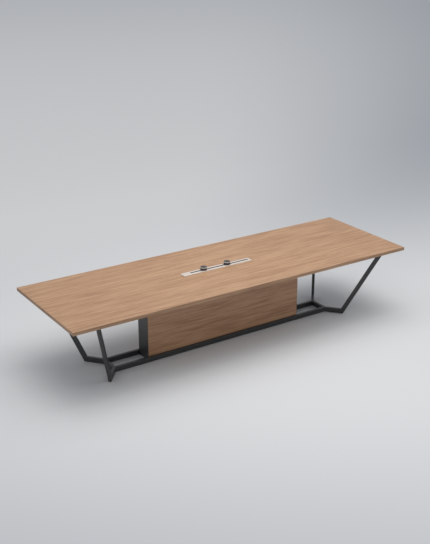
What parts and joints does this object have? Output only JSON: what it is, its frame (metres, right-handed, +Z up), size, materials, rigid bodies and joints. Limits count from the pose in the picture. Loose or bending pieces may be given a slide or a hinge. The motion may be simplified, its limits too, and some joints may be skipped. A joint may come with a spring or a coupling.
{
  "type": "conference table",
  "caption": "Long wood-faced conference table on a dark splayed tube base, with a cable column under the top and a power track whose round sockets slide and twist to lock.",
  "frame": {"origin": "on the floor, under the middle of the top", "axes": "+X along the table towards the end away from the track's feed cap, +Y across the table, +Z up"},
  "size_m": [3.8, 1.2, 0.8],
  "materials": {
    "wood": "satin wood-grain laminate, grain along the table",
    "edge_band": "satin wood-grain edge band",
    "steel": "fine-textured dark grey powder coat",
    "glide": "matt moulded",
    "board": "raw board",
    "zinc": "zinc plated",
    "track": "satin anodised",
    "insulator": "matt moulded",
    "copper": "drawn strip",
    "brass": "stamped",
    "plastic": "satin moulded",
    "ring": "satin"
  },
  "bodies": {
    "table": {"table_top": "wood", "front_edge_band": "edge_band", "rear_edge_band": "edge_band", "left_edge_band": "edge_band", "right_edge_band": "edge_band", "front_rail": "steel", "rear_rail": "steel", "left_end_bar": "steel", "right_end_bar": "steel", "left_cross_tube": "steel", "right_cross_tube": "steel", "front_left_arm": "steel", "front_right_arm": "steel", "rear_left_arm": "steel", "rear_right_arm": "steel", "front_left_leg": "steel", "front_right_leg": "steel", "rear_left_leg": "steel", "rear_right_leg": "steel", "front_left_leg_plate": "steel", "front_right_leg_plate": "steel", "rear_left_leg_plate": "steel", "rear_right_leg_plate": "steel", "front_left_toe_glide": "glide", "front_right_toe_glide": "glide", "rear_left_toe_glide": "glide", "rear_right_toe_glide": "glide", "front_left_rail_glide": "glide", "front_right_rail_glide": "glide", "rear_left_rail_glide": "glide", "rear_right_rail_glide": "glide", "column_front_panel": "wood", "column_rear_panel": "wood", "column_left_end": "steel", "column_right_end": "steel", "column_divider": "board", "column_front_cleat": "zinc", "column_rear_cleat": "zinc", "track_channel": "track", "track_feed_cap": "track", "track_end_cap": "track", "track_liner": "insulator", "live_strip": "copper", "neutral_strip": "copper", "earth_strip": "copper"},
    "left_adapter_slider": {"left_adapter_base": "plastic"},
    "left_adapter_head": {"left_adapter_housing": "plastic", "left_adapter_trim_ring": "ring", "left_adapter_socket_face": "plastic", "left_adapter_stem": "insulator", "left_adapter_live_blade": "brass", "left_adapter_neutral_blade": "brass"},
    "right_adapter_slider": {"right_adapter_base": "plastic"},
    "right_adapter_head": {"right_adapter_housing": "plastic", "right_adapter_trim_ring": "ring", "right_adapter_socket_face": "plastic", "right_adapter_stem": "insulator", "right_adapter_live_blade": "brass", "right_adapter_neutral_blade": "brass"}
  },
  "joints": [
    {"name": "left_adapter_slide", "type": "slide", "parent": "table", "child": "left_adapter_slider", "axis": [1, 0, 0], "range_m": [-0.135, 0.104]},
    {"name": "left_adapter_twist", "type": "hinge", "parent": "left_adapter_slider", "child": "left_adapter_head", "pos_m": [-0.205, 0, 0.768], "axis": [0, 0, 1], "range_deg": [0, 90]},
    {"name": "right_adapter_slide", "type": "slide", "parent": "table", "child": "right_adapter_slider", "axis": [1, 0, 0], "range_m": [-0.104, 0.238]},
    {"name": "right_adapter_twist", "type": "hinge", "parent": "right_adapter_slider", "child": "right_adapter_head", "pos_m": [0.07, 0, 0.768], "axis": [0, 0, 1], "range_deg": [0, 90]}
  ]
}
